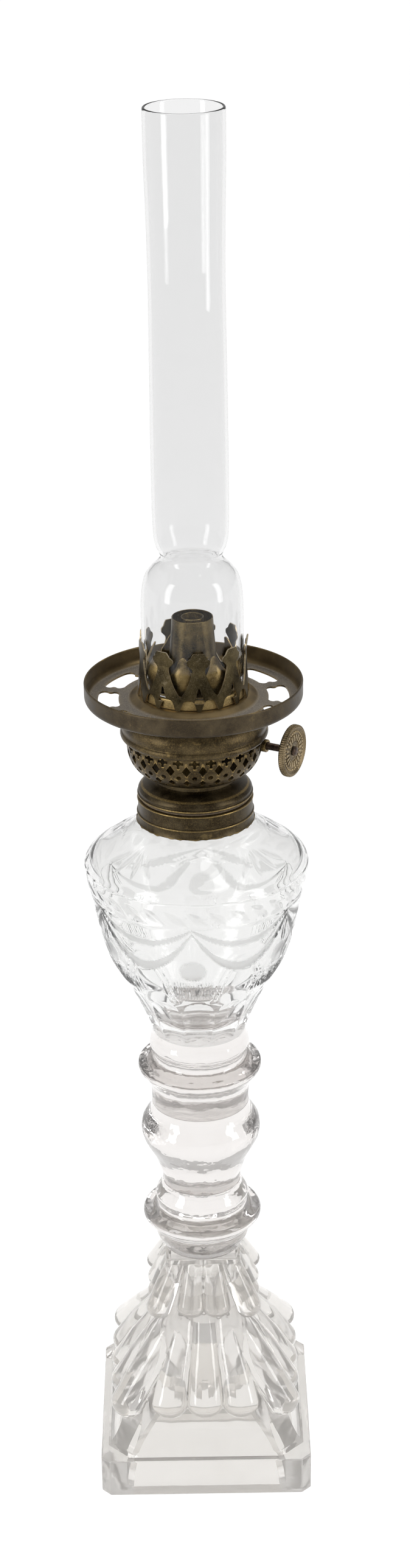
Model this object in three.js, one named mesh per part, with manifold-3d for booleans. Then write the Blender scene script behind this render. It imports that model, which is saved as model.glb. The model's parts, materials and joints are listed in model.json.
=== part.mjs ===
// Round-wick oil lamp: a pressed glass foot with a turned glass stem and a blown glass font,
// a brass round-wick burner with a pierced air basket, a shade ring and a crown that grips a
// glass chimney.
//
// Millimetres, +Z up. The lamp's axis is Z, and the foot stands on Z = 0. -Y is the front.
import * as THREE from 'three';
import { mergeVertices } from 'three/addons/utils/BufferGeometryUtils.js';
import Module from 'manifold-3d';

const wasm = await Module();
wasm.setup();
const { Manifold, CrossSection, Mesh: SolidMesh } = wasm;

// ---------------------------------------------------------------- driving dimensions

const CHIMNEY_TOP = 674;
const PLINTH_SIDE = 104;
const PLINTH_THICKNESS = 20;
const PLINTH_CORNER_CUT = 4.5;
const TOP_PLATE_SIDE = 37;
const FOOT_TOP = 115.5;
const FONT_BOTTOM = 235.8;
const FONT_NECK_TOP = 351.5;
const COLLAR_TOP = 357.3;
const SHADE_RING_RADIUS = 50.2;
const SHADE_FLOOR = 406;
const CROWN_FOOT = 408.7;
const CROWN_TOP = 436;
const CHIMNEY_BOTTOM = 413.5;
const WICK_TUBE_TOP = 445.3;
const WICK_TOP = 440;

const JOINT_GAP = 0.3; // between pieces that touch on the real lamp
const SHEET = 0.8; // thickness of the pressed brass sheet
const GLASS_WALL = 1.4; // thickness of the chimney

// The wick spindle lies level, beside the wick tube, and points forward and to the right.
const SPINDLE_HEIGHT = 381.5;
const SPINDLE_OFFSET = 14.5; // from the lamp's axis to the spindle's axis
const SPINDLE_TURN = -28; // degrees from +X, seen from above
const SPINDLE_RADIUS = 1.7;
const KNOB_FACE = 44.7; // distance along the spindle from the point nearest the lamp's axis
const KNOB_RADIUS = 12.25;
const WHEEL_PLACES = [-3.5, 3.5]; // distances along the spindle

const ROUND = 30; // sides of a large turned piece
const ROUND_SMALL = 20; // sides of a small turned piece

// ---------------------------------------------------------------- materials

function paint(color, roughness, metalness) {
  return new THREE.MeshStandardMaterial({ color, roughness, metalness });
}

const clearGlass = () => {
  const material = paint(0xe8ebe8, 0.05, 0);
  material.transparent = true;
  material.opacity = 0.35;
  return material;
};
const agedBrass = () => paint(0x6b5a36, 0.42, 0.95);
const wornBrass = () => paint(0xb49a63, 0.38, 0.95);
const darkSteel = () => paint(0x4a4038, 0.5, 0.9);

// ---------------------------------------------------------------- solids

function toSolid(geometry) {
  const bare = geometry.clone();
  bare.deleteAttribute('normal');
  bare.deleteAttribute('uv');
  const merged = mergeVertices(bare, 1e-4);
  const corners = merged.index.array;
  const triangles = [];
  for (let i = 0; i < corners.length; i += 3) {
    const [a, b, c] = [corners[i], corners[i + 1], corners[i + 2]];
    if (a !== b && b !== c && c !== a) triangles.push(a, b, c);
  }
  const vertProperties = new Float32Array(merged.attributes.position.array);
  return new Manifold(new SolidMesh({ numProp: 3, vertProperties, triVerts: new Uint32Array(triangles) }));
}

function toGeometry(solid) {
  const mesh = solid.getMesh();
  const geometry = new THREE.BufferGeometry();
  geometry.setAttribute('position', new THREE.BufferAttribute(mesh.vertProperties, 3));
  geometry.setIndex(new THREE.BufferAttribute(mesh.triVerts, 1));
  geometry.computeVertexNormals();
  return geometry;
}

// Turns an outline of [radius, height] points about Z. The outline runs anticlockwise, up the
// outside and down the inside, and closes on itself.
function turned(outline, sides = ROUND) {
  const points = outline.map(([radius, height]) => new THREE.Vector2(radius, height));
  points.push(points[0].clone());
  const geometry = new THREE.LatheGeometry(points, sides);
  geometry.rotateX(Math.PI / 2);
  return toSolid(geometry);
}

function tube(outerRadius, innerRadius, bottom, top, sides = ROUND_SMALL) {
  const wall = [[outerRadius, bottom], [outerRadius, top], [innerRadius, top], [innerRadius, bottom]];
  return turned(wall, sides);
}

function rod(radius, bottom, top, sides = ROUND_SMALL) {
  return Manifold.cylinder(top - bottom, radius, radius, sides).translate([0, 0, bottom]);
}

function block(width, depth, height) {
  return Manifold.cube([width, depth, height], true);
}

// Lays a solid that was made along +Z onto the spindle's line, with its Z as the distance along it.
function onSpindle(solid) {
  return solid
    .rotate([0, 90, 0])
    .translate([0, SPINDLE_OFFSET, SPINDLE_HEIGHT])
    .rotate([0, 0, SPINDLE_TURN]);
}

// ---------------------------------------------------------------- glass foot

// A square with cut corners, as eight points.
function cutSquare(half, cut) {
  const near = half - cut;
  return [
    [half, -near], [half, near], [near, half], [-near, half],
    [-half, near], [-half, -near], [-near, -half], [near, -half],
  ];
}

// Joins level sections {height, outline} into one solid. All outlines have the same point count.
function stacked(sections) {
  const count = sections[0].outline.length;
  const positions = sections.flatMap(({ height, outline }) => outline.flatMap(([x, y]) => [x, y, height]));
  const triangles = [];
  for (let level = 0; level + 1 < sections.length; level += 1) {
    for (let i = 0; i < count; i += 1) {
      const a = level * count + i;
      const b = level * count + ((i + 1) % count);
      triangles.push(a, b, b + count, a, b + count, a + count);
    }
  }
  const last = (sections.length - 1) * count;
  for (let i = 1; i + 1 < count; i += 1) {
    triangles.push(0, i + 1, i);
    triangles.push(last, last + i, last + i + 1);
  }
  const vertProperties = new Float32Array(positions);
  return new Manifold(new SolidMesh({ numProp: 3, vertProperties, triVerts: new Uint32Array(triangles) }));
}

// One lobe of a cascade: a chain of flattened balls, each hulled to the next.
function lobe(balls, across, direction) {
  const beads = balls.map(({ out, height, thick, wide, spread }) => (
    Manifold.sphere(1, 8).scale([thick, wide, thick]).translate([out, across * spread, height])
  ));
  const links = beads.slice(1).map((bead, i) => Manifold.hull([beads[i], bead]));
  return Manifold.union(links).rotate([0, 0, direction]);
}

function cascade({ balls, cornerBalls, across }) {
  const pieces = [];
  for (let face = 0; face < 4; face += 1) {
    for (const place of across) pieces.push(lobe(balls, place, 90 * face));
    pieces.push(lobe(cornerBalls, 0, 90 * face + 45));
  }
  return Manifold.union(pieces);
}

function glassFoot() {
  const half = PLINTH_SIDE / 2;
  const slab = stacked([
    { height: 0, outline: cutSquare(half, PLINTH_CORNER_CUT) },
    { height: PLINTH_THICKNESS, outline: cutSquare(half - 0.4, PLINTH_CORNER_CUT) },
  ]);
  const flare = stacked([
    { height: PLINTH_THICKNESS - 1, outline: cutSquare(half - 2.5, 11) },
    { height: PLINTH_THICKNESS + 4, outline: cutSquare(half - 7, 11.6) },
    { height: PLINTH_THICKNESS + 11, outline: cutSquare(half - 10.5, 12.6) },
    { height: 44, outline: cutSquare(half - 12, 14) },
    { height: 62, outline: cutSquare(half - 26, 9) },
    { height: 84, outline: cutSquare(17, 5) },
    { height: 98, outline: cutSquare(16, 3) },
    { height: 112, outline: cutSquare(TOP_PLATE_SIDE / 2 - 1, 1) },
  ]);
  const plate = block(TOP_PLATE_SIDE, TOP_PLATE_SIDE, 3.5).translate([0, 0, FOOT_TOP - 1.75]);
  const lower = cascade({
    balls: [
      { out: 13, height: 80, thick: 4.5, wide: 5, spread: 0.55 },
      { out: 30, height: 60, thick: 6, wide: 7.2, spread: 0.8 },
      { out: 39.3, height: 47, thick: 6.9, wide: 8.6, spread: 1 },
    ],
    cornerBalls: [
      { out: 20, height: 79, thick: 4.5, wide: 6, spread: 0 },
      { out: 41, height: 59, thick: 5.6, wide: 7.4, spread: 0 },
      { out: 54.6, height: 47, thick: 6.9, wide: 8.4, spread: 0 },
    ],
    across: [-17.5, 0, 17.5],
  });
  const upper = cascade({
    balls: [
      { out: 13.5, height: 108, thick: 3.6, wide: 4.3, spread: 0.65 },
      { out: 22.8, height: 90.5, thick: 4.9, wide: 6.4, spread: 1 },
    ],
    cornerBalls: [
      { out: 20, height: 108, thick: 3.6, wide: 4.4, spread: 0 },
      { out: 32.2, height: 90.5, thick: 4.8, wide: 5.8, spread: 0 },
    ],
    across: [-6.3, 6.3],
  });
  const hollow = stacked([
    { height: -1, outline: cutSquare(39.2, 3) },
    { height: 14, outline: cutSquare(36.5, 3) },
    { height: 26, outline: cutSquare(28, 4) },
    { height: 48, outline: cutSquare(13, 3) },
    { height: 60, outline: cutSquare(8, 2) },
  ]);
  return Manifold.union([slab, flare, plate, lower, upper]).subtract(hollow);
}

// ---------------------------------------------------------------- glass stem and font

function lowerMerese() {
  const bottom = FOOT_TOP + JOINT_GAP;
  return turned([
    [0, bottom], [18.8, bottom], [21.6, 119.5], [23, 124], [23.4, 128.5], [27.2, 131.3], [28.9, 134],
    [27.6, 136.8], [21.4, 139.4], [22.7, 144], [20.4, 149], [19.2, 152], [0, 152],
  ], 28);
}

function stemKnop() {
  return turned([
    [0, 152.3], [18.9, 152.3], [20.6, 160], [23.2, 168], [26.9, 174.5], [28.9, 180], [28.6, 184.5],
    [26, 189], [23.6, 193.5], [23.5, 196], [0, 196],
  ], 28);
}

function upperMerese() {
  const top = FONT_BOTTOM - JOINT_GAP;
  return turned([
    [0, 196.3], [23.5, 196.3], [23.8, 203], [24.8, 208.5], [28.4, 212.8], [29.7, 216.4], [28.2, 218],
    [22, 220.8], [22.2, 224.5], [24.1, 227], [23.6, 230.4], [22.3, top], [0, top],
  ], 28);
}

function font() {
  return turned([
    [0, FONT_BOTTOM], [22.3, FONT_BOTTOM], [23.4, 240], [26.6, 248], [30.9, 258], [35.4, 266], [40.8, 274.5],
    [45, 286.5], [48, 301], [50.4, 311.8], [52, 318], [52.8, 323], [51.4, 326.6], [44.6, 331.7], [36, 337.8],
    [29.5, 342.6], [26, 345.4], [20, 347.2], [20, FONT_NECK_TOP],
    [17.5, FONT_NECK_TOP], [17.5, 345.4], [27, 341.2], [42, 330.4], [48.6, 325], [49.4, 321], [47.4, 310],
    [42.4, 288.5], [37, 275], [29, 262.5], [18, 253], [0, 249],
  ]);
}

// ---------------------------------------------------------------- collar and burner

function collarPlaster() {
  return turned([[20.3, 347.6], [25.5, 346], [25.5, 349.4], [20.3, 349.4]], ROUND);
}

function fontCollar() {
  return turned([
    [27.2, 345.6], [26.7, 350], [26.6, COLLAR_TOP], [22.8, COLLAR_TOP], [22.8, 349.8], [23.6, 349.8],
    [23.6, COLLAR_TOP - SHEET], [25.8, COLLAR_TOP - SHEET], [25.9, 350], [26.3, 345.6],
  ]);
}

function sealingWasher() {
  return turned([[26.1, COLLAR_TOP + 0.3], [26.1, COLLAR_TOP + 1.1], [23.1, COLLAR_TOP + 1.1],
    [23.1, COLLAR_TOP + 0.3]]);
}

function burnerBase() {
  const lip = COLLAR_TOP + 1.4;
  return turned([
    [22.4, 349.5], [22.4, lip], [26.4, lip], [26.4, 361.3], [24.6, 363.8], [19.2, 366.6], [19.2, 369.3],
    [12.95, 369.3], [12.95, 368.5], [18.4, 368.5], [18.4, 366], [24, 363.1], [25.5, 361], [25.5, 359.5],
    [21.6, 359.5], [21.6, 349.5],
  ]);
}

function airBasket() {
  const bowl = turned([
    [13.2, 369.6], [22.2, 369.6], [25.8, 371.6], [28.8, 375], [30.6, 378.6], [31.2, 382.5], [31.2, 388.4],
    [30.4, 388.4], [30.4, 382.6], [29.8, 379], [28.1, 375.6], [25.3, 372.4], [22, 370.4], [13.2, 370.4],
  ]);
  return bowl.subtract(onSpindle(rod(3.3, 20, 34)));
}

function spindleBush() {
  return onSpindle(tube(3, SPINDLE_RADIUS + 0.25, 24.5, 30.5, 16));
}

function wickTube() {
  const cone = turned([
    [12.5, 361], [12.5, 400], [12, 412], [10.4, 430], [9.5, WICK_TUBE_TOP],
    [8.9, WICK_TUBE_TOP], [9.8, 430], [11.4, 412], [11.9, 400], [11.9, 361],
  ], 24);
  const slots = WHEEL_PLACES.map((place) => onSpindle(block(14, 11, 2).translate([0, -4.5, place])));
  return cone.subtract(Manifold.union(slots));
}

// The inner tube brings air up the middle of the wick, and a web holds it to the wick tube.
function airTube() {
  const pipe = tube(5.3, 4.7, 361, WICK_TUBE_TOP, ROUND_SMALL);
  const web = block(6.3, 0.7, 38).translate([8.25, 0, 361 + 19]).rotate([0, 0, SPINDLE_TURN - 90]);
  return pipe.add(web);
}

// A bracket round the toothed wheels: two cheeks that carry the spindle, and a back plate.
function wheelBracket() {
  const outer = block(13, 10, 17).translate([0, 18 - SPINDLE_OFFSET, 0]);
  const inside = block(14, 10, 15.4).translate([0, 18 - SPINDLE_OFFSET - 0.8, 0]);
  return onSpindle(outer.subtract(inside).subtract(rod(SPINDLE_RADIUS + 0.25, -12, 12)));
}

// ---------------------------------------------------------------- spindle and wick

function spindle() {
  return onSpindle(rod(SPINDLE_RADIUS, -10.5, KNOB_FACE - 0.8, 16));
}

function toothedWheel(place) {
  const teeth = 12;
  const star = [];
  for (let i = 0; i < 2 * teeth; i += 1) {
    const radius = i % 2 === 0 ? 6.3 : 5;
    const angle = (Math.PI * i) / teeth;
    star.push([radius * Math.cos(angle), radius * Math.sin(angle)]);
  }
  const disc = new CrossSection([star]).extrude(0.9).translate([0, 0, place - 0.45]);
  return onSpindle(disc.subtract(rod(SPINDLE_RADIUS + 0.2, place - 2, place + 2, 16)));
}

function knobDisc() {
  const back = KNOB_FACE - 3.2;
  const dish = turned([
    [2, back], [KNOB_RADIUS - 0.9, back], [KNOB_RADIUS, back + 0.7], [KNOB_RADIUS, KNOB_FACE - 0.6],
    [KNOB_RADIUS - 0.6, KNOB_FACE], [KNOB_RADIUS - 1.8, KNOB_FACE], [KNOB_RADIUS - 2.4, KNOB_FACE - 0.8],
    [2, KNOB_FACE - 0.8],
  ], 36);
  return onSpindle(dish);
}

function knobHub() {
  const back = KNOB_FACE - 3.2;
  return onSpindle(tube(3.1, SPINDLE_RADIUS + 0.3, back - 3, back - JOINT_GAP, 16));
}

function knobRivet() {
  return onSpindle(turned([
    [0, KNOB_FACE - 0.5], [2.3, KNOB_FACE - 0.5], [2.1, KNOB_FACE + 0.3], [1.2, KNOB_FACE + 0.7],
    [0, KNOB_FACE + 0.8],
  ], 16));
}

// The wick is a woven sleeve round the air tube, with a slit where the web passes.
function wick() {
  const slit = block(6, 2.2, 90).translate([8, 0, 403]).rotate([0, 0, SPINDLE_TURN - 90]);
  return tube(8.4, 5.7, 366, WICK_TOP, 24).subtract(slit);
}

// ---------------------------------------------------------------- gallery

const RING_WINDOWS = 10;

function shadeRing() {
  const dish = turned([
    [22.5, 407.5], [25.8, 407.5], [30, SHADE_FLOOR - SHEET], [47.4, SHADE_FLOOR - SHEET],
    [49.6, SHADE_FLOOR + 0.4], [SHADE_RING_RADIUS, SHADE_FLOOR + 2.6], [SHADE_RING_RADIUS, 414.2],
    [49.8, 414.6], [49.3, 414.2], [49.3, SHADE_FLOOR + 3], [48.6, SHADE_FLOOR + 1], [46.9, SHADE_FLOOR],
    [30.2, SHADE_FLOOR], [26, 408.3], [22.5, 408.3],
  ], 36);
  const windowArc = 25;
  const sector = [];
  for (const radius of [34.5, 43.7]) {
    for (let step = 0; step <= 3; step += 1) {
      const along = radius < 40 ? step : 3 - step;
      const angle = THREE.MathUtils.degToRad((along / 3 - 0.5) * windowArc);
      sector.push([radius * Math.cos(angle), radius * Math.sin(angle)]);
    }
  }
  const cutter = new CrossSection([sector.reverse()]).extrude(6).translate([0, 0, SHADE_FLOOR - 3]);
  const cuts = [];
  for (let i = 0; i < RING_WINDOWS; i += 1) {
    cuts.push(cutter.rotate([0, 0, 21 + (i + 0.5) * (360 / RING_WINDOWS)]));
  }
  return dish.subtract(Manifold.union(cuts));
}

function gallerySkirt() {
  return turned([
    [32.5, 387.5], [33.8, 389.4], [34.1, 392], [33.2, 396.4], [31, 401], [28.9, 404.9],
    [28, 404.5], [30.2, 400.6], [32.3, 396.1], [33.2, 392], [32.9, 389.8], [31.8, 388.1],
  ], 36);
}

const PRONGS = 9;
const CROWN_ARCHES = 16;
const CROWN_PHASE = -84; // degrees from +X to the front prong's middle, seen from above
const CROWN_RADIUS = 25.3; // of the sheet's middle at the foot

// The crown is cut flat, along its length and height, and then rolled into a ring with a seam
// at the back.
function crown() {
  const length = 2 * Math.PI * CROWN_RADIUS - 0.6;
  const pitch = (2 * Math.PI * CROWN_RADIUS) / PRONGS;
  const height = CROWN_TOP - CROWN_FOOT;
  const prong = [[-5.6, 6], [-2.3, 19.4], [-6, 23], [-4.3, 25.6], [-1.6, height], [1.6, height],
    [4.3, 25.6], [6, 23], [2.3, 19.4], [5.6, 6]];
  const band = new CrossSection([[[-length / 2, 0], [length / 2, 0], [length / 2, 8], [-length / 2, 8]]]);
  const prongs = [];
  const holes = [];
  for (let i = 0; i < PRONGS; i += 1) {
    const middle = (i - (PRONGS - 1) / 2) * pitch;
    prongs.push(new CrossSection([prong.map(([x, z]) => [x + middle, z]).reverse()]));
    holes.push(new CrossSection([[[middle - 2.6, 3.6], [middle + 2.6, 3.6], [middle, 10.8]]]));
  }
  for (let i = 0; i < CROWN_ARCHES; i += 1) {
    const middle = ((i + 0.5) / CROWN_ARCHES - 0.5) * length;
    holes.push(new CrossSection([[[-3.7, -1], [3.7, -1], [2.9, 3.2], [0, 5.2], [-2.9, 3.2]]
      .map(([x, z]) => [x + middle, z])]));
  }
  const pattern = CrossSection.union([band, ...prongs]).subtract(CrossSection.union(holes));
  const flat = pattern.extrude(0.7).translate([0, 0, -0.35]).refineToLength(5.5);
  return flat.warp((point) => {
    const [along, up, through] = point;
    const neck = 1.2 * Math.sin(Math.min(up / 20.5, 1) * (Math.PI / 2));
    const flare = Math.max(up - 20.5, 0) * 0.09;
    const radius = CROWN_RADIUS + through - neck + flare;
    const angle = along / CROWN_RADIUS + THREE.MathUtils.degToRad(CROWN_PHASE);
    point[0] = radius * Math.cos(angle);
    point[1] = radius * Math.sin(angle);
    point[2] = CROWN_FOOT + up;
  });
}

const LEAVES = 8;

// The seat that the chimney stands on, with sprung leaves that steady it from inside.
function leafSeat() {
  const seat = turned([
    [24, 408.7], [24, 413.1], [19.4, 413.1], [19.4, 412.4], [23.2, 412.4], [23.2, 408.7],
  ], 28);
  const outline = new CrossSection([[[-3, -0.5], [3, -0.5], [4.6, 6], [3.6, 13], [1.2, 18.5], [-1.2, 18.5],
    [-3.6, 13], [-4.6, 6]]]);
  const flat = outline.extrude(0.7).refineToLength(8);
  const bent = flat.warp((point) => {
    const [along, up, through] = point;
    const bulge = 19.6 + 1.2 * Math.sin((Math.PI * up) / 18.5) - Math.max(up - 12, 0) * 0.16;
    const angle = along / 21;
    const radius = bulge + through;
    point[0] = radius * Math.cos(angle);
    point[1] = radius * Math.sin(angle);
    point[2] = 413.1 + up;
  });
  const leaves = [];
  for (let i = 0; i < LEAVES; i += 1) leaves.push(bent.rotate([0, 0, -59 + (i * 360) / LEAVES]));
  return Manifold.union([seat, ...leaves]);
}

function chimney() {
  const outside = [
    [23.2, CHIMNEY_BOTTOM], [23.3, 456], [22.6, 462.5], [21, 467.3], [17.6, 471.2], [13.8, 474.2],
    [15.2, 478.2], [16.7, 482.2], [17.2, 490], [17.4, 520], [16.9, 600], [17.8, 650],
    [17.9, CHIMNEY_TOP - 0.8],
  ];
  const inside = [
    [23.2, CHIMNEY_BOTTOM], [23.3, 456], [22.5, 462], [20.7, 466.4], [17.2, 470.2], [13.8, 474.2],
    [15.2, 478.8], [16.7, 482.6], [17.2, 490], [17.4, 520], [16.9, 600], [17.8, 650],
    [17.9, CHIMNEY_TOP - 0.8],
  ].map(([radius, height]) => [radius - GLASS_WALL, height]).reverse();
  return turned([...outside, [17.2, CHIMNEY_TOP], ...inside]);
}

// ---------------------------------------------------------------- assembly

const lamp = new THREE.Group();

function addPiece(name, solid, material) {
  const mesh = new THREE.Mesh(toGeometry(solid), material);
  mesh.name = name;
  lamp.add(mesh);
}

addPiece('glass_foot', glassFoot(), clearGlass());
addPiece('lower_merese', lowerMerese(), clearGlass());
addPiece('stem_knop', stemKnop(), clearGlass());
addPiece('upper_merese', upperMerese(), clearGlass());
addPiece('glass_font', font(), clearGlass());
addPiece('collar_plaster', collarPlaster(), paint(0xd8cfbc, 0.9, 0));
addPiece('font_collar', fontCollar(), agedBrass());
addPiece('sealing_washer', sealingWasher(), paint(0x2c2622, 0.85, 0));
addPiece('burner_base', burnerBase(), agedBrass());
addPiece('air_basket', airBasket(), agedBrass());
addPiece('spindle_bush', spindleBush(), agedBrass());
addPiece('wick_tube', wickTube(), agedBrass());
addPiece('air_tube', airTube(), agedBrass());
addPiece('wheel_bracket', wheelBracket(), agedBrass());
addPiece('spindle', spindle(), darkSteel());
WHEEL_PLACES.forEach((place, i) => addPiece(`toothed_wheel_${i + 1}`, toothedWheel(place), agedBrass()));
addPiece('knob_disc', knobDisc(), wornBrass());
addPiece('knob_hub', knobHub(), wornBrass());
addPiece('knob_rivet', knobRivet(), darkSteel());
addPiece('wick', wick(), paint(0xc9bfa6, 0.95, 0));
addPiece('shade_ring', shadeRing(), agedBrass());
addPiece('gallery_skirt', gallerySkirt(), agedBrass());
addPiece('chimney_crown', crown(), agedBrass());
addPiece('leaf_seat', leafSeat(), agedBrass());
addPiece('glass_chimney', chimney(), clearGlass());

export default lamp;
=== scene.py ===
# %% [markdown]
# # A round-wick oil lamp
#
# The lamp is three trades in one object: a pressed and cut glass stand, a pressed brass burner,
# and a blown glass chimney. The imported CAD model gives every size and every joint. This lesson
# builds the surfaces that are seen around it, one piece at a time, in metres and in the same frame.

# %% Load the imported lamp
import json
import math

import bmesh
import bpy
import numpy as np
from mathutils import Matrix, Vector


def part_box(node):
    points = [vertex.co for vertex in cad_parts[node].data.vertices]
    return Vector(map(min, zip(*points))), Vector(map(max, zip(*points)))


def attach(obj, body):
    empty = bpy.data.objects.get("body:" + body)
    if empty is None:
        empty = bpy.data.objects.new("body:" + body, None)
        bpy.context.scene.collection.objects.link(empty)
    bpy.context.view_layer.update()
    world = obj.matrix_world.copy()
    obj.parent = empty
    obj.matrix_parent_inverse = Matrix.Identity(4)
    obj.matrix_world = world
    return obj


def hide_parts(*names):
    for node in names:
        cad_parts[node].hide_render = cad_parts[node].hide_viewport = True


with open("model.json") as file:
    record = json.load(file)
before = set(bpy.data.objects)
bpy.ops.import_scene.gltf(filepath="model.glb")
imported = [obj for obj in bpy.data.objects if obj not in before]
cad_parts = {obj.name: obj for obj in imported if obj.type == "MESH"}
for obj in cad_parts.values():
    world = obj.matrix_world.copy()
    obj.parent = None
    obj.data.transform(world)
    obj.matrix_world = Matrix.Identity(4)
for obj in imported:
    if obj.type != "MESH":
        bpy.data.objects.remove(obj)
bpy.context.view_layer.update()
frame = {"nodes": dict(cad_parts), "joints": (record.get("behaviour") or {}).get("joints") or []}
MM = 0.001

# %% [markdown]
# ## Camera, floor and light
#
# A tall thin object is shown from slightly above with a long lens. Glass and brass show what is
# round them, so the light matters as much as the material: a bright floor, a grey room that draws
# the edges of the glass, and two tall soft boxes for the long highlights.

# %% Camera
SENSOR = 36
FOCAL_LENGTH = 67.23
camera_data = bpy.data.cameras.new("view_camera")
camera_data.sensor_width = SENSOR
camera_data.lens = FOCAL_LENGTH
camera = bpy.data.objects.new("view_camera", camera_data)
bpy.context.scene.collection.objects.link(camera)
camera.matrix_world = (
    Matrix.Translation((0.0046, -1.246, 0.904))
    @ Matrix.Rotation(math.radians(66.5), 4, "X")
    @ Matrix.Rotation(math.radians(-0.89), 4, "Z")
)
bpy.context.scene.camera = camera
print("camera height in mm:", round(camera.location.z / MM))

# %% Soft boxes and room
ROOM_GREY = 0.56


def soft_box(name, place, target, size, power):
    light = bpy.data.lights.new(name, "AREA")
    light.shape = "RECTANGLE"
    light.size, light.size_y = size
    light.energy = power
    box = bpy.data.objects.new(name, light)
    bpy.context.scene.collection.objects.link(box)
    away = Vector(place) - Vector(target)
    box.matrix_world = Matrix.Translation(place) @ away.to_track_quat("Z", "Y").to_matrix().to_4x4()
    return box


soft_box("left_box", (-1.1, -0.7, 0.85), (0, 0, 0.4), (0.35, 1.3), 11)
soft_box("right_box", (1.2, -0.5, 0.8), (0, 0, 0.4), (0.3, 1.2), 8)
soft_box("top_box", (0.1, 0.3, 1.7), (0, 0, 0.4), (0.9, 0.9), 8)
room = bpy.data.worlds.new("grey_room")
room.use_nodes = True
room.node_tree.nodes["Background"].inputs["Color"].default_value = (ROOM_GREY, ROOM_GREY, ROOM_GREY, 1)
bpy.context.scene.world = room
bpy.context.scene.view_settings.view_transform = "Standard"
bpy.context.scene.cycles.max_bounces = 32
bpy.context.scene.cycles.transmission_bounces = 28

# %% [markdown]
# ## Shader maths as Python
#
# A material is a graph of nodes. A small class holds one output socket and turns Python's
# operators into Math nodes, and its one method adds any other node.

# %% The socket class
def plug(node, sockets):
    """Sets or links a node's inputs. _6 means input number 6, and Base_Color means Base Color."""
    for name, value in sockets.items():
        key = int(name[1:]) if name[0] == "_" else name.replace("_", " ")
        if isinstance(value, Wire):
            node.id_data.links.new(value.socket, node.inputs[key])
        else:
            node.inputs[key].default_value = value


class Wire:
    """One output of a node, which can be added, multiplied and so on."""

    def __init__(self, socket):
        self.socket = socket

    def node(self, kind, settings=None, out=0, **sockets):
        made = self.socket.id_data.nodes.new("ShaderNode" + kind)
        for name, value in (settings or {}).items():
            setattr(made, name, value)
        plug(made, sockets)
        return Wire(made.outputs[out])

    def maths(self, operation, first, second=0.0):
        return self.node("Math", {"operation": operation}, _0=first, _1=second)

    def __add__(self, other):
        return self.maths("ADD", self, other)

    def __sub__(self, other):
        return self.maths("SUBTRACT", self, other)

    def __rsub__(self, other):
        return self.maths("SUBTRACT", other, self)

    def __mul__(self, other):
        return self.maths("MULTIPLY", self, other)

    __radd__ = __add__
    __rmul__ = __mul__

    def step(self, low, high):
        """0 below low, 1 above high, smooth between."""
        return self.node("MapRange", {"interpolation_type": "SMOOTHSTEP"},
                         Value=self, From_Min=low, From_Max=high)

    def mix(self, low, high):
        """A colour from low to high, as this value goes from 0 to 1."""
        return self.node("Mix", {"data_type": "RGBA"}, 2, _0=self, _6=low, _7=high)

    def noise(self, scale, detail=3.0, rough=0.55):
        return self.node("TexNoise", Vector=self, Scale=scale, Detail=detail, Roughness=rough)


def finish(name):
    """A new material: (the material, its shader node, the Object coordinates)."""
    material = bpy.data.materials.new(name)
    material.use_nodes = True
    tree = material.node_tree
    tree.nodes.clear()
    shader = tree.nodes.new("ShaderNodeBsdfPrincipled")
    output = tree.nodes.new("ShaderNodeOutputMaterial")
    tree.links.new(shader.outputs[0], output.inputs[0])
    return material, shader, Wire(tree.nodes.new("ShaderNodeTexCoord").outputs["Object"])


# %% [markdown]
# ## Glass
#
# Old pressed glass isn't perfectly clear. It has a faint tint, slow ripples from the mould, and
# dust that dulls it in patches. Ripples are a weak bump at a large scale, and dust is a rise in
# roughness. Real glass bends light by an index of about 1.5. The chimney, the font and the foot are
# given less, so that what stands behind their walls stays readable, and a share of the foot is left
# opaque, as a milky haze.

# %% Glass finishes
GROUND_GREY = (0.5, 0.5, 0.49, 1)


def glass(name, tint, dusty_tint, clean=0.0, dusty=0.0, ripple=0.0, ripple_size=20, ground=0.0, clear=1.0,
          bend=1.5):
    """clean and dusty are roughness, clear is the share let through, and bend is the index."""
    material, shader, place = finish(name)
    dust = place.noise(1 / (14 * MM), 6.0, 0.65).step(0.42, 0.78)
    specks = place.noise(1 / (0.9 * MM), 2.0).step(0.66, 0.74)
    if ripple:
        waves = place.noise(1 / (ripple_size * MM), 2.0, 0.45)
        plug(shader, dict(Normal=waves.node("Bump", Strength=ripple, Distance=1.2 * MM, Height=waves)))
    colour = (dust * 0.5 + specks * 0.3).mix(tint, dusty_tint)
    rough = clean + dust * dusty + specks * dusty if dusty else clean
    if ground:
        cut = place.node("Attribute", {"attribute_name": "ground"}, "Fac")
        colour = (cut * 0.7).mix(colour, GROUND_GREY)
        rough = rough + cut * ground
    plug(shader, dict(Base_Color=colour, Transmission_Weight=clear, IOR=bend, Roughness=rough))
    return material


foot_glass = glass("foot_glass_pressed", (0.858, 0.838, 0.81, 1), (0.8, 0.772, 0.735, 1),
                   clean=0.05, dusty=0.06, ripple=0.3, ripple_size=16, clear=0.8, bend=1.46)
stem_glass = glass("stem_glass_turned", (0.87, 0.845, 0.828, 1), (0.8, 0.76, 0.735, 1),
                   clean=0.01, dusty=0.03, ripple=0.6, ripple_size=8, clear=0.94)
font_glass = glass("font_glass_cut", (0.925, 0.925, 0.92, 1), (0.88, 0.875, 0.87, 1),
                   clean=0.004, dusty=0.02, ripple=0.06, ripple_size=24, ground=0.34, clear=0.96, bend=1.38)
chimney_glass = glass("chimney_glass_blown", (0.872, 0.872, 0.872, 1), (0.858, 0.858, 0.858, 1), bend=1.28)
print("glass:", [m.name for m in bpy.data.materials if "glass" in m.name])
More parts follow.
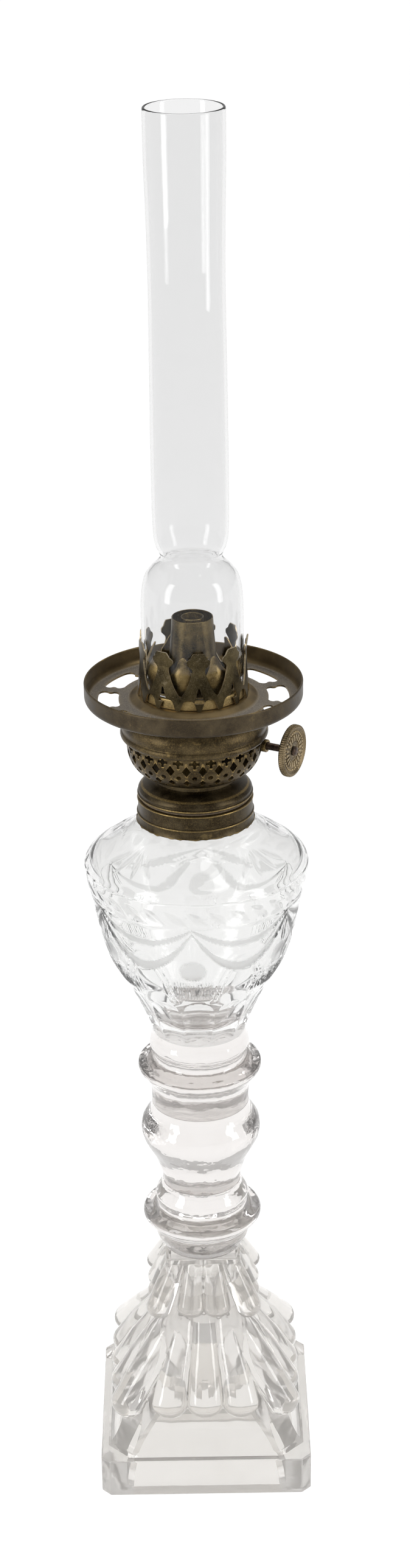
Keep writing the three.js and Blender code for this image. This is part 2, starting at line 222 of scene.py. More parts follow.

# %% [markdown]
# ## Brass
#
# The burner's brass has gone olive brown, nearly black in places. Handling keeps its ridges
# golden, so the pointed places of the mesh get a brighter metal, and dust lies on what faces up.
# Turned pieces get painted highlights as patchy bright lines at set heights, and the tray's sheltered faces
# stay browner.

# %% Brass finishes
DUST_GREY = (0.27, 0.24, 0.2, 1)


def brass(name, deep, middle, bright, shine=0.34, gold=1.0, dust=0.0, cut_edges=False, highlight_heights=(),
          inner=None):
    """The bright lines are painted highlights at the given heights in mm, and inner is the colour of
    sheltered faces.
    """
    material, shader, place = finish(name)
    level = place.node("VectorMath", {"operation": "MULTIPLY"}, _0=place, _1=(1, 1, 0))
    outward = level.node("VectorMath", {"operation": "NORMALIZE"}, _0=level)
    facing = outward.node("VectorMath", {"operation": "DOT_PRODUCT"}, "Value",
                          _0=outward, _1=place.node("NewGeometry", out="True Normal"))
    clouds = place.noise(1 / (9 * MM), 6.0, 0.6).step(0.34, 0.7)
    grain = place.noise(1 / (0.55 * MM), 2.0).step(0.4, 0.75)
    patches = place.noise(1 / (5 * MM), 5.0, 0.65).step(0.6, 0.72)
    pointed = place.node("NewGeometry", out="Pointiness").step(0.52, 0.6)
    rubbed = pointed * (0.35 + grain * 0.65)
    if cut_edges:
        rubbed = (1 - facing.maths("ABSOLUTE", facing)).step(0.55, 0.8)
    colour = clouds.mix(deep, middle)
    if inner:
        reach = level.node("VectorMath", {"operation": "LENGTH"}, "Value", _0=level)
        sheltered = facing.maths("MAXIMUM", (0 - facing).step(0.1, 0.6),
                                 1 - reach.step(29.8 * MM, 30.6 * MM))
        colour = (sheltered * (0.55 + clouds * 0.45)).mix(colour, inner)
    colour = (patches * 0.28 * gold + grain * 0.16 * gold).mix(colour, bright)
    colour = (rubbed * 0.8).mix(colour, bright)
    rough = shine + clouds * 0.12 + grain * 0.08 - rubbed * 0.08
    metal = 0.95 - clouds * 0.1
    height = place.node("SeparateXYZ", out=2, Vector=place)
    # Painted highlights: a bright line round the piece at each given height, broken up in patches.
    for line in highlight_heights:
        near = height - line * MM
        near = 1 - near.maths("ABSOLUTE", near).step(0.15 * MM, 0.55 * MM)
        painted_highlight = near * (0.7 - clouds * 0.4) * (0.5 + grain * 0.5)
        colour = painted_highlight.mix(colour, bright)
    if dust:
        up = place.node("NewGeometry", out="Normal")
        up = up.node("SeparateXYZ", out=2, Vector=up).step(0.55, 0.95)
        grey = up * (0.45 + grain * 0.5) * dust * (1 - height.step(406.15 * MM, 406.9 * MM))
        colour = grey.mix(colour, DUST_GREY)
        rough = rough + grey * 0.35
        metal = metal - grey * 0.8
    bump_height = grain * 0.4 + place.noise(1 / (0.25 * MM), 2.0)
    bump = bump_height.node("Bump", Strength=0.12, Distance=0.06 * MM, Height=bump_height)
    plug(shader, dict(Base_Color=colour, Metallic=metal, Roughness=rough, Normal=bump))
    return material


DEEP, OLIVE, GOLD = (0.024, 0.017, 0.009, 1), (0.078, 0.056, 0.026, 1), (0.42, 0.29, 0.11, 1)
old_brass = brass("aged_brass_turned", DEEP, OLIVE, GOLD)
# The collar and the burner base carry painted highlights along their beads, edges and shoulder.
collar_brass = brass("aged_brass_collar", DEEP, (0.056, 0.042, 0.022, 1), (0.44, 0.31, 0.12, 1),
                     shine=0.32, gold=0.55, highlight_heights=(345.9, 350.1, 357, 359.4, 363.4))
tube_brass = brass("aged_brass_tube", (0.045, 0.033, 0.015, 1), (0.15, 0.108, 0.045, 1),
                   (0.55, 0.4, 0.16, 1),
                   shine=0.3)
tray_brass = brass("aged_brass_tray", (0.038, 0.029, 0.019, 1), (0.07, 0.053, 0.031, 1), GOLD,
                   shine=0.4, gold=0.35, dust=0.9, inner=(0.16, 0.115, 0.055, 1))
crown_brass = brass("aged_brass_crown", (0.036, 0.027, 0.012, 1), (0.1, 0.075, 0.032, 1),
                    (0.6, 0.5, 0.34, 1),
                    shine=0.33, gold=0.5, cut_edges=True)
leaf_brass = brass("golden_brass_leaves", (0.12, 0.085, 0.035, 1), (0.38, 0.27, 0.11, 1),
                   (0.75, 0.57, 0.27, 1),
                   shine=0.38, gold=1.4)
knob_brass = brass("worn_brass_knob", (0.075, 0.054, 0.03, 1), (0.2, 0.15, 0.085, 1), (0.58, 0.46, 0.27, 1),
                   shine=0.36)
print("brass:", [m.name for m in bpy.data.materials if "brass" in m.name])

# %% [markdown]
# ## Steel, plaster, rubber and cotton
#
# The small finishes: a dark rusted spindle, the plaster that holds the collar, the seal under the
# burner, and a woven cotton wick.

# %% Small finishes
def plain(name, low, high, size, rough, metal=0.0, depth=0.1, weave=0.0):
    material, shader, place = finish(name)
    clouds = place.noise(1 / (size * MM), 5.0, 0.6).step(0.35, 0.68)
    height = place.noise(1 / (0.4 * MM), 3.0)
    if weave:
        threads = place.node("TexWave", {"bands_direction": "Z"}, "Fac",
                             Vector=place, Scale=1 / (weave * MM) / 3.2, Distortion=2.0, Detail=2.0)
        height = height * 0.4 + threads
    bump = height.node("Bump", Strength=0.5, Distance=depth * MM, Height=height)
    plug(shader, dict(Base_Color=clouds.mix(low, high), Metallic=metal, Roughness=rough + clouds * 0.1,
                      Normal=bump))
    return material


dark_steel = plain("spindle_steel_rusted", (0.035, 0.024, 0.018, 1), (0.13, 0.085, 0.06, 1), 2.5, 0.4, 0.85)
old_plaster = plain("plaster_yellowed", (0.5, 0.44, 0.34, 1), (0.7, 0.65, 0.55, 1), 3, 0.85)
rubber = plain("washer_perished", (0.05, 0.035, 0.02, 1), (0.12, 0.085, 0.05, 1), 2, 0.7)
cotton = plain("wick_cotton_woven", (0.5, 0.45, 0.35, 1), (0.68, 0.63, 0.52, 1), 4, 0.88, 0.0, 0.3, 0.9)
print("materials so far:", len(bpy.data.materials))

# %% [markdown]
# ## Hand tools
#
# Almost every piece of this lamp is turned, so the main tool draws an outline from one vertex,
# edge by edge, and spins it. The others start a piece, pick parts of it by place, carve one solid
# with another, copy a piece round the axis, and put a finished piece on its body.

# %% Start, pick and close
def start(name, add, **settings):
    """Adds a primitive in metres and opens it in edit mode."""
    bpy.ops.object.select_all(action="DESELECT")
    add(**settings)
    bpy.ops.object.transform_apply(location=True, rotation=True, scale=True)
    piece = bpy.context.object
    piece.name = piece.data.name = name
    bpy.ops.object.mode_set(mode="EDIT")
    bpy.ops.mesh.select_mode(type="VERT")
    bpy.ops.mesh.select_all(action="SELECT")
    return piece


def pick(kind, test):
    """Selects the vertices or faces whose middle passes a test, and nothing else."""
    bpy.ops.mesh.select_all(action="DESELECT")
    bpy.ops.mesh.select_mode(type=kind)
    shape = bmesh.from_edit_mesh(bpy.context.edit_object.data)
    for part in shape.verts if kind == "VERT" else shape.faces:
        part.select_set(test(part.co if kind == "VERT" else part.calc_center_median()))
    shape.select_flush_mode()
    bmesh.update_edit_mesh(bpy.context.edit_object.data)


def close(sharp=35):
    """Merges seams and poles, turns the faces outwards and leaves edit mode."""
    bpy.ops.mesh.select_all(action="SELECT")
    bpy.ops.mesh.remove_doubles(threshold=0.002 * MM)
    bpy.ops.mesh.normals_make_consistent(inside=False)
    bpy.ops.object.mode_set(mode="OBJECT")
    bpy.ops.object.shade_smooth_by_angle(angle=math.radians(sharp))
    return bpy.context.object


def choose(piece):
    bpy.ops.object.select_all(action="DESELECT")
    piece.select_set(True)
    bpy.context.view_layer.objects.active = piece


# %% Outlines
def curve(points, per=5):
    """Points of a smooth line through the given ones, all in millimetres."""
    points = [Vector(point) for point in points]
    path = [points[0] * 2 - points[1], *points, points[-1] * 2 - points[-2]]
    made = [points[0]]
    for p0, p1, p2, p3 in zip(path, path[1:], path[2:], path[3:]):
        t1 = (p1 - p0).length ** 0.5
        t2 = t1 + (p2 - p1).length ** 0.5
        t3 = t2 + (p3 - p2).length ** 0.5
        for i in range(1, per + 1):
            t = t1 + (t2 - t1) * i / per
            a, b, c = p0.lerp(p1, t / t1), p1.lerp(p2, (t - t1) / (t2 - t1)), p2.lerp(p3,
                (t - t2) / (t3 - t2))
            made.append(a.lerp(b, t / t2).lerp(b.lerp(c, (t - t1) / (t3 - t1)), (t - t1) / (t2 - t1)))
    return made


def walled(face, thick):
    """The outline of a sheet, from its outer face listed upwards."""
    inner = []
    for i, point in enumerate(face):
        run = (face[min(i + 1, len(face) - 1)] - face[max(i - 1, 0)]).normalized()
        inner.append(point + Vector((-run.y, run.x)) * thick)
    return face + inner[::-1]


def trace(points):
    """Draws a closed chain of edges through points in metres, from one vertex."""
    bpy.ops.mesh.merge(type="CENTER")
    bpy.ops.transform.translate(value=points[0])
    for before, after in zip(points, points[1:] + points[:1]):
        bpy.ops.mesh.extrude_vertices_move(TRANSFORM_OT_translate={"value": after - before})
    bpy.ops.mesh.select_all(action="SELECT")
    bpy.ops.mesh.remove_doubles(threshold=0.002 * MM)


def turn(name, outline, steps=128, sharp=35):
    """Spins a closed outline of (radius, height) in millimetres round the Z axis."""
    piece = start(name, bpy.ops.mesh.primitive_plane_add, size=MM)
    trace([Vector((radius * MM, 0, height * MM)) for radius, height in map(Vector, outline)])
    bpy.ops.mesh.spin(steps=steps, angle=math.tau, center=(0, 0, 0), axis=(0, 0, 1))
    close(sharp)
    return piece


def plate(name, outline, low, high):
    """A flat plate: an outline of (x, y), from low to high along Z, in millimetres."""
    piece = start(name, bpy.ops.mesh.primitive_plane_add, size=MM)
    trace([Vector((x * MM, y * MM, low * MM)) for x, y in outline])
    bpy.ops.mesh.edge_face_add()
    bpy.ops.mesh.extrude_region_move(TRANSFORM_OT_translate={"value": (0, 0, (high - low) * MM)})
    close()
    return piece


# %% Places of vertices
def read_spots(piece, what="co"):
    """The places or normals of a piece's vertices, one row of x, y and z each."""
    spots = np.empty(len(piece.data.vertices) * 3, np.float32)
    piece.data.vertices.foreach_get(what, spots)
    return spots.reshape(-1, 3)


def write_spots(piece, spots):
    piece.data.vertices.foreach_set("co", spots.astype(np.float32).ravel())
    piece.data.update()


# %% Carve, copy and fit
def carve(piece, tool, operation="DIFFERENCE"):
    """Cuts a tool out of a piece, or joins it on, and throws the tool away."""
    cut = piece.modifiers.new("cut", "BOOLEAN")
    cut.operation, cut.object, cut.solver = operation, tool, "MANIFOLD"
    choose(piece)
    bpy.ops.object.modifier_apply(modifier="cut")
    if piece.modifiers:
        raise RuntimeError(f"{tool.name} isn't a closed solid, so it can't cut {piece.name}")
    bpy.data.objects.remove(tool)
    return piece


def copies(model, places, name):
    """Copies a model to each matrix, each with its own mesh, and joins the copies into one piece."""
    bpy.ops.object.select_all(action="DESELECT")
    for place in places:
        copy = bpy.data.objects.new(name, model.data.copy())
        copy.data.transform(place)
        bpy.context.scene.collection.objects.link(copy)
        copy.select_set(True)
        bpy.context.view_layer.objects.active = copy
    bpy.ops.object.join()
    bpy.data.objects.remove(model)
    return bpy.context.object


def about(degrees):
    return Matrix.Rotation(math.radians(degrees), 4, "Z")


def fit(piece, body, slot, material, *nodes):
    """Dresses a piece, puts it on its body in place of its CAD nodes, and prints how it fits."""
    piece.data.materials.clear()
    piece.data.materials.append(material)
    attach(piece, body)
    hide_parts(*nodes)
    boxes = np.array([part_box(node) for node in nodes])
    corners = np.array([corner[:] for corner in piece.bound_box])
    gap = [corners.min(0) - boxes[:, 0].min(0), corners.max(0) - boxes[:, 1].max(0)]
    print(piece.name, "faces", len(piece.data.polygons), "off its CAD box by mm",
          np.round(np.array(gap) / MM, 2).tolist())
    return piece


# %% [markdown]
# ## Floor
#
# A wide pale sheet. It glows a little, so that the shadows stay faint, as on a light table.

# %% Floor
floor = start("floor", bpy.ops.mesh.primitive_plane_add, size=24)
close()
floor_paint, floor_shader, _ = finish("white_floor")
plug(floor_shader, dict(Base_Color=(0.2, 0.2, 0.2, 1), Roughness=0.9, Emission_Color=(1, 1, 1, 1),
                        Emission_Strength=0.88))
floor.data.materials.append(floor_paint)
floor.location.z = -0.05 * MM
print("floor side in m:", floor.dimensions.x)

# %% [markdown]
# ## Foot
#
# The foot was pressed in a mould: a square slab with cut corners, and on it a block hidden under
# two tiers of lobes like a frozen cascade. A lobe is a chain of flattened balls, hulled one to the
# next. Three lobes are modelled for each tier and copied round the four sides, and everything is
# joined into one solid with a hollow underneath.

# %% Slab and block
SLAB_SIDE, SLAB_THICK, SLAB_CORNER = 104, 20, 4.5
slab = start("pressed_foot", bpy.ops.mesh.primitive_cube_add, size=1, location=(0, 0, 0.5))
bpy.ops.transform.resize(value=(SLAB_SIDE * MM, SLAB_SIDE * MM, SLAB_THICK * MM), center_override=(0, 0, 0))


def bevel_uprights(width):
    """Cuts the four upright corners of a block."""
    shape = bmesh.from_edit_mesh(bpy.context.edit_object.data)
    bpy.ops.mesh.select_all(action="DESELECT")
    bpy.ops.mesh.select_mode(type="EDGE")
    for edge in shape.edges:
        run = edge.verts[0].co - edge.verts[1].co
        edge.select_set(abs(run.z) > 0.9 * run.length)
    bmesh.update_edit_mesh(bpy.context.edit_object.data)
    bpy.ops.mesh.bevel(offset=width * MM, offset_type="WIDTH", segments=1)


bevel_uprights(SLAB_CORNER * math.sqrt(2))
bpy.ops.mesh.select_all(action="SELECT")
bpy.ops.mesh.bevel(offset=0.7 * MM, segments=3)
close(50)

FLARE = curve([(49.5, 19), (46.8, 22), (44.6, 25), (42.6, 29), (41, 34), (39.6, 42), (33, 52), (26, 62),
               (20.5, 73), (17, 84), (16, 98), (17.3, 112.5)], 3)
block = start("block", bpy.ops.mesh.primitive_cube_add, size=2 * FLARE[0].x * MM,
              location=(0, 0, FLARE[0].y * MM + FLARE[0].x * MM))
bevel_uprights(11 * math.sqrt(2))
top = 2 * FLARE[0].x * MM + FLARE[0].y * MM
pick("FACE", lambda middle: middle.z > top - 0.1 * MM)
bpy.ops.transform.translate(value=(0, 0, (FLARE[1].y - FLARE[0].y) * MM - 2 * FLARE[0].x * MM))
bpy.ops.transform.resize(value=(FLARE[1].x / FLARE[0].x, FLARE[1].x / FLARE[0].x, 1),
                         center_override=(0, 0, 0))
for below, above in zip(FLARE[1:], FLARE[2:]):
    bpy.ops.mesh.extrude_region_move(TRANSFORM_OT_translate={"value": (0, 0, (above.y - below.y) * MM)})
    share = above.x / below.x
    bpy.ops.transform.resize(value=(share, share, 1), center_override=(0, 0, 0))
close(40)
carve(slab, block, "UNION")
print("slab and block faces:", len(slab.data.polygons))


# %% Lobes
def lobe(name, balls, across):
    """Balls of (out, height, thick, wide, spread), hulled one to the next along +X."""
    made = None
    for pair in zip(balls, balls[1:]):
        link = start(name, bpy.ops.mesh.primitive_uv_sphere_add, segments=28, ring_count=14, radius=MM)
        bpy.ops.mesh.delete(type="VERT")
        for out, height, thick, wide, spread in pair:
            bpy.ops.mesh.select_all(action="DESELECT")
            bpy.ops.mesh.primitive_uv_sphere_add(segments=28, ring_count=14, radius=MM, location=(0, 0, 0))
            bpy.ops.transform.resize(value=(thick, wide, thick), center_override=(0, 0, 0))
            bpy.ops.transform.translate(value=(out * MM, across * spread * MM, height * MM))
        bpy.ops.mesh.select_all(action="SELECT")
        bpy.ops.mesh.convex_hull()
        close(40)
        made = link if made is None else carve(made, link, "UNION")
    return made


def cascade(foot, face_balls, corner_balls, across):
    for place in across:
        model = lobe("lobe", face_balls, place)
        for side in range(4):
            copy = bpy.data.objects.new("lobe_copy", model.data.copy())
            copy.data.transform(about(90 * side))
            bpy.context.scene.collection.objects.link(copy)
            carve(foot, copy, "UNION")
        bpy.data.objects.remove(model)
    carve(foot, copies(lobe("lobe", corner_balls, 0), [about(90 * side + 45) for side in range(4)],
                       "lobes"), "UNION")


cascade(slab, [(13, 82, 5.2, 5.6, 0.55), (22, 71, 6.4, 7.2, 0.68), (31, 59, 7, 8.1, 0.86),
               (39.8, 45.4, 7.1, 9, 1)],
        [(18.5, 81, 5.6, 7.2, 0), (29.5, 70, 6.6, 8.4, 0), (41.5, 58.5, 7.2, 9, 0),
         (54.4, 45.8, 7.1, 9.1, 0)],
        (-17.5, 0, 17.5))
cascade(slab, [(14.2, 111, 3.7, 4.7, 0.62), (18, 101, 4.8, 6, 0.82), (22.6, 90.4, 5.2, 7.1, 1)],
        [(19.3, 110.5, 4.1, 5.3, 0), (25, 101, 5, 6.4, 0), (31.8, 90.6, 5.2, 6.9, 0)], (-6.3, 6.3))
print("foot faces with its lobes:", len(slab.data.polygons))

# %% Top plate and hollow
plate_low, foot_top = 112, 115.5
cap = plate("cap", [(-18.5, -18.5), (18.5, -18.5), (18.5, 18.5), (-18.5, 18.5)], plate_low, foot_top)
choose(cap)
bpy.ops.object.mode_set(mode="EDIT")
bpy.ops.mesh.select_all(action="SELECT")
bpy.ops.mesh.bevel(offset=0.6 * MM, segments=3)
close(50)
carve(slab, cap, "UNION")
HOLLOW = curve([(39.2, -0.5), (38, 8), (35, 17), (28, 27), (20, 38), (13, 48), (8, 58)], 3)
hollow = start("hollow", bpy.ops.mesh.primitive_cube_add, size=2 * MM)
bpy.ops.transform.resize(value=(HOLLOW[0].x, HOLLOW[0].x, 1), center_override=(0, 0, 0))
bpy.ops.transform.translate(value=(0, 0, (HOLLOW[0].y - 1) * MM))
bevel_uprights(3 * math.sqrt(2))
pick("FACE", lambda middle: middle.z > (HOLLOW[0].y - 0.1) * MM)
for below, above in zip(HOLLOW, HOLLOW[1:]):
    bpy.ops.mesh.extrude_region_move(TRANSFORM_OT_translate={"value": (0, 0, (above.y - below.y) * MM)})
    share = above.x / below.x
    bpy.ops.transform.resize(value=(share, share, 1), center_override=(0, 0, 0))
close(40)
carve(slab, hollow)
choose(slab)
bpy.ops.object.shade_smooth_by_angle(angle=math.radians(32))
fit(slab, "lamp", "foot_glass", foot_glass, "glass_foot")

# %% [markdown]
# ## Stem
#
# Between the foot and the font are three blown pieces: two saucers with upturned rims, and a
# round knop. Each is turned from its outline. Where two of them fuse, they overlap by a hair,
# because a gap of air would show as a mirror inside the glass.

# %% Merese, knop, merese
FUSE = 0.12
saucer_low = turn("saucer_low", [(0, 115.5 - FUSE), (18.6, 115.5 - FUSE)] + curve([
    (18.8, 116), (21.4, 119.5), (22.8, 123), (23.2, 127.2), (24.6, 129.4), (27.2, 131), (28.7, 132.8),
    (28.9, 134.6), (28, 136.2), (26, 137.2), (23.2, 138), (21.7, 139.6), (22.3, 142), (22.6, 144.4),
    (21.3, 147.4), (19.7, 150.2), (19.2, 152)], 4) + [(0, 152)], 144, 50)
fit(saucer_low, "lamp", "stem_glass", stem_glass, "lower_merese")
knop = turn("knop_blown", [(0, 152 - FUSE)] + curve([
    (18.9, 152 - FUSE), (19.4, 156), (20.8, 161), (22.9, 167), (26.2, 173), (28.3, 177.6), (28.9, 181.2),
    (28.5, 185), (27, 188), (25, 190.8), (23.9, 193.2), (23.5, 196)], 4) + [(0, 196)], 144, 50)
fit(knop, "lamp", "stem_glass", stem_glass, "stem_knop")
saucer_high = turn("saucer_high", [(0, 196 - FUSE)] + curve([
    (23.4, 196 - FUSE), (23.5, 200), (23.8, 204), (24.6, 208), (26.4, 211), (28.6, 213.4), (29.7, 215.8),
    (29.4, 217.6), (28, 218.4), (25.2, 218.9), (22.8, 220.2), (22, 222), (22.5, 224.6), (23.8, 227),
    (23.8, 229.6), (22.8, 232.8), (22.3, 235.8)], 4) + [(0, 235.8)], 144, 50)
fit(saucer_high, "lamp", "stem_glass", stem_glass, "upper_merese")

# %% [markdown]
# ## Font
#
# The oil font is blown, and its pattern is cut into the outside with a wheel: twelve round-ended
# flutes at the foot, swags that hang from six points with a tassel under each, a rope of slanting
# cuts round the shoulder, and sprays of long cuts on the top. A wheel cut is a shallow hollow with
# a crisp edge, so each cut is a small formula for depth, and the outside of a finely spun shell is
# pressed in by the deepest cut at each point. Then the inside is carved out.

# %% Outside of the font
FONT_FACE = curve([(22.3, 235.8), (23.2, 239.5), (25.4, 245), (28.6, 252.5), (32.2, 260), (36.6, 267.6),
                   (40.6, 274.5),
                   (43.4, 281), (45.6, 288.5), (47.4, 297), (49, 305), (50.4, 311.8), (51.8, 317.4),
                   (52.6, 322), (52.2, 325.2), (50, 328), (44.6, 331.9), (36, 337.8), (29.5, 342.4),
                   (26, 345), (22, 346.6)], 9)
shell = turn("font_outside", [(0, 235.8 - FUSE)] + FONT_FACE + [(20, 347.4), (20, 351.5), (0, 351.5)],
             600, 30)
print("font outside faces:", len(shell.data.polygons))


# %% Wheel cuts
def bowl(u, v):
    """A hollow that is 1 deep in its middle and ends where u and v reach a circle of 1."""
    return np.clip(1 - u * u - v * v, 0, 1)


def cuts(turned, height, radius):
    """Depth in mm of the cutting, from the angle in degrees, the height and the radius in mm."""
    arc = radius * math.pi / 180
    depth = np.zeros_like(height)
    matt = np.zeros_like(height)
    # Flutes: parallel sides and a round upper end.
    side = (turned + 15) % 30 - 15
    depth = np.maximum(depth, 1.25 * bowl(side * arc / (radius * 0.247),
                                          np.clip(height - 257, 0, None) / 7.5)
                       * np.clip((height - 237) / 4, 0, 1))
    # Swags: two bands that hang between six points.
    along = ((turned + 3) % 60) / 60
    droop = 4 * along * (1 - along)
    for top, drop, wide, deep in ((311, 9.5, 1.9, 0.4), (308.5, 20, 2.8, 0.6)):
        width = wide * np.clip(droop, 0.04, 1) ** 0.45
        swag = bowl((height - top + drop * droop) / width, 0 * height)
        depth, matt = np.maximum(depth, deep * swag), np.maximum(matt, np.minimum(swag * 4, 1))
    # Tassels under the points: a pair of lines, a bell and a fringe.
    across = ((turned + 33) % 60 - 30) * arc
    for line in (-0.9, 0.9):
        depth = np.maximum(depth, 0.25 * bowl((across - line) / 0.5, (height - 301) / 8))
    bell = bowl(across / 6.9, (height - 287.6) / 6.2)
    depth, matt = np.maximum(depth, 0.45 * bell), np.maximum(matt, np.minimum(bell * 3, 0.8))
    fringe = bowl(((across + 0.7) % 1.42 - 0.71) / 0.66,
                  np.clip(np.abs(height - 275.4) - 5.6, 0, None) / 0.8)
    fringe = fringe * (np.abs(across) < 9.2 - (282 - height) * 0.06)
    depth, matt = np.maximum(depth, 0.42 * fringe), np.maximum(matt, fringe * 0.25)
    # Tall arches between the tassels.
    panel = ((turned + 3) % 60 - 30) * arc
    for wide in (9.5, 12.5):
        rise = 265 + 27 * np.sqrt(np.clip(1 - (panel / wide) ** 2, 0, 1)) + (wide - 9.5)
        edge = np.abs(height - rise) < 30
        near = np.where(np.abs(panel) < wide, np.abs(height - rise) * 0.42,
                        np.hypot(np.abs(panel) - wide, 9.9))
        near = np.where(height < 279, np.minimum(near, np.abs(np.abs(panel) - wide * 0.86)), near)
        depth = np.maximum(depth, 0.28 * bowl(near / 0.65, 0 * height) * edge * (height > 266))
    # Rope: slanting lens cuts in a band, and two fine lines under it.
    x, y = ((turned + 5.625) % 11.25 - 5.625) * arc, height - 317.2
    for shift in (-11.25, 0, 11.25):
        xs = x + shift * arc
        s, n = (xs * 0.8 - y * 0.6) / 6.9, (xs * 0.6 + y * 0.8) / 2.5
        lens = np.clip(np.clip(1 - s * s, 0, 1) - np.abs(n), 0, 1)
        depth, matt = np.maximum(depth, 0.32 * lens), np.maximum(matt, np.minimum(lens, 0.35))
    for line in (310.9, 324.6):
        depth = np.maximum(depth, 0.25 * bowl((height - line) / 0.55, 0 * height))
    # Shoulder: four stars of long olive cuts, joined by thin festoons.
    top_side = height > 326.5
    for star in (47, 133, 227, 313):
        off = ((turned - star + 180) % 360 - 180)
        for lean in (-15, -5, 5, 15):
            bend = (off - lean * (radius - 30) / 12) * arc
            long = (radius - 40) / (6.2 if abs(lean) == 5 else 4.6)
            olive = bowl(bend / 1.6, long) * top_side
            depth, matt = np.maximum(depth, 0.42 * olive), np.maximum(matt, np.minimum(olive * 3, 0.4))
    wavy = 36.5 + 3.2 * np.cos(np.radians((turned - 47) * 4)) + 0.5 * np.cos(np.radians(turned * 24))
    depth = np.maximum(depth, 0.15 * bowl((radius - wavy) / 0.5, 0 * height) * top_side)
    return depth, matt


co, nor = read_spots(shell) / MM, read_spots(shell, "normal")
radius = np.hypot(co[:, 0], co[:, 1])
cut_depth, _ = cuts(np.degrees(np.arctan2(co[:, 0], -co[:, 1])), co[:, 2], radius)
cut_depth[(radius < 22.5) | (co[:, 2] < 236.5) | (co[:, 2] > 345)] = 0
co -= nor * cut_depth[:, None]
write_spots(shell, co * MM)
print("deepest cut in mm:", round(float(cut_depth.max()), 2), "share of the outside cut:",
      round(float((cut_depth > 0).mean()), 2))

# %% Inside of the font
cavity = turn("cavity", [(0, 243)] + curve([
    (14, 243.8), (20.4, 247.4), (24.4, 253.2), (28.4, 261), (33.2, 269.6), (38.6, 278), (42.2, 288),
    (45, 299), (47.2, 310),
    (48.8, 318), (49, 322.6), (47.8, 326), (42, 330.2), (34, 335.9), (27, 340.8), (20, 344.6),
    (17.5, 346.4)], 3)
    + [(17.5, 353), (0, 353)], 128, 50)
carve(shell, cavity)
choose(shell)
bpy.ops.object.shade_smooth_by_angle(angle=math.radians(24))
co = read_spots(shell) / MM
face_radius = np.interp(co[:, 2], [point.y for point in FONT_FACE], [point.x for point in FONT_FACE])
radius = np.hypot(co[:, 0], co[:, 1])
_, matt = cuts(np.degrees(np.arctan2(co[:, 0], -co[:, 1])), co[:, 2], radius)
matt[(radius < face_radius - 1.6) | (co[:, 2] < 240)] = 0
shell.data.attributes.new("ground", "FLOAT", "POINT").data.foreach_set("value", matt.astype(np.float32))
shell.name = shell.data.name = "font_cut_glass"
fit(shell, "lamp", "font_glass", font_glass, "glass_font")

# %% [markdown]
# ## Collar, seal and burner base
#
# The collar is spun brass, plastered on to the font's neck, with a torn lower lip and a rolled bead
# above and below. The burner screws into it, and only its flange and shoulder show.

# %% Collar, washer, base
collar = turn("collar_spun", [*curve([(27.7, 345.7), (27.2, 346.6), (26.9, 347.8), (26.8, 349.2)], 3),
              *curve([(26.8, 349.4), (27.3, 349.8), (27.35, 350.3), (26.8, 350.8)], 3), (26.6, 355.9),
              *curve([(26.6, 356.1), (27.05, 356.5), (27, 357.1), (26.6, 357.3)], 3),
              (22.8, 357.3), (22.8, 349.8), (23.6, 349.8), (23.6, 356.4),
              (25.9, 356.4), (26, 349.6), (26.5, 345.7)], 144)
spots = read_spots(collar)
angle = np.arctan2(spots[:, 1], spots[:, 0])
ragged = np.sin(angle * 17) + np.sin(angle * 29 + 1) + np.sin(angle * 43 + 2)
spots[:, 2] += np.where(spots[:, 2] < 345.8 * MM, (ragged * 0.16 + 0.3) * MM, 0)
write_spots(collar, spots)
fit(collar, "lamp", "aged_brass", collar_brass, "font_collar")

seal = turn("seal_ring", [*curve([(25.9, 357.6), (26.1, 358), (25.9, 358.4)], 3), (23.1, 358.4),
                          (23.1, 357.6)], 96)
fit(seal, "washer", "washer", rubber, "sealing_washer")

base = turn("base_spun", [(22.4, 349.5), (22.4, 358.7),
            *curve([(26.4, 358.7), (26.9, 359.1), (26.9, 359.7), (26.4, 360.1)], 3),
            *curve([(26.3, 360.4), (26.5, 361.3), (25.9, 362.4), (24.6, 363.6), (22.4, 364.9),
                    (20.3, 365.8), (19.3, 366.6)], 4),
            (19.2, 369.3), (12.95, 369.3), (12.95, 368.5), (18.4, 368.5),
            (18.4, 366), (24, 362.9), (25.5, 361), (25.5, 359.5),
            (21.6, 359.5), (21.6, 349.5)], 144)
fit(base, "burner", "aged_brass", collar_brass, "burner_base")

# %% [markdown]
# ## Air basket
#
# The flame breathes through a pierced bowl. Its holes stand in staggered rows of twenty-six:
# small crosses at the top, then diamonds, dots, and diamonds again. One punch is made for each
# row, square to the bowl's wall, and copied round.

# %% Bowl and its holes
BASKET_HOLES = 26
BOWL_FACE = [(22.2, 369.6), (24.2, 370.5), (26.2, 371.9), (28, 373.8), (29.4, 375.9), (30.5, 378.5),
             (31.1, 381.2), (31.2, 384),
             (31.2, 388.4)]
bowl_piece = turn("basket_pierced", [(13.2, 369.6), *curve(BOWL_FACE, 4), (30.4, 388.4),
                  *curve([(30.4, 384), (30.3, 381.4), (29.7, 378.8), (28.7, 376.4), (27.3, 374.4),
                          (25.6, 372.6),
                          (23.8, 371.3), (22, 370.4)], 4), (13.2, 370.4)], 208)


def punch(sides, size, tall, pinch=1.0, place=(31, 0, 380), lean=0.0):
    """A prism through the bowl's wall. A pinch below 1 turns a circle into a cross of four lobes."""
    tool = start("punch", bpy.ops.mesh.primitive_cylinder_add, vertices=sides, radius=size * MM,
                 depth=5 * MM)
    if pinch < 1:
        pick("VERT", lambda spot: abs(math.sin(2 * math.atan2(spot.y, spot.x))) > 0.8)
        bpy.ops.transform.resize(value=(pinch, pinch, 1), center_override=(0, 0, 0))
    bpy.ops.mesh.select_all(action="SELECT")
    bpy.ops.transform.resize(value=(tall, 1, 1), center_override=(0, 0, 0))
    close()
    tool.data.transform(Matrix.Translation(Vector(place) * MM) @ Matrix.Rotation(math.radians(90 + lean),
        4, "Y"))
    return tool


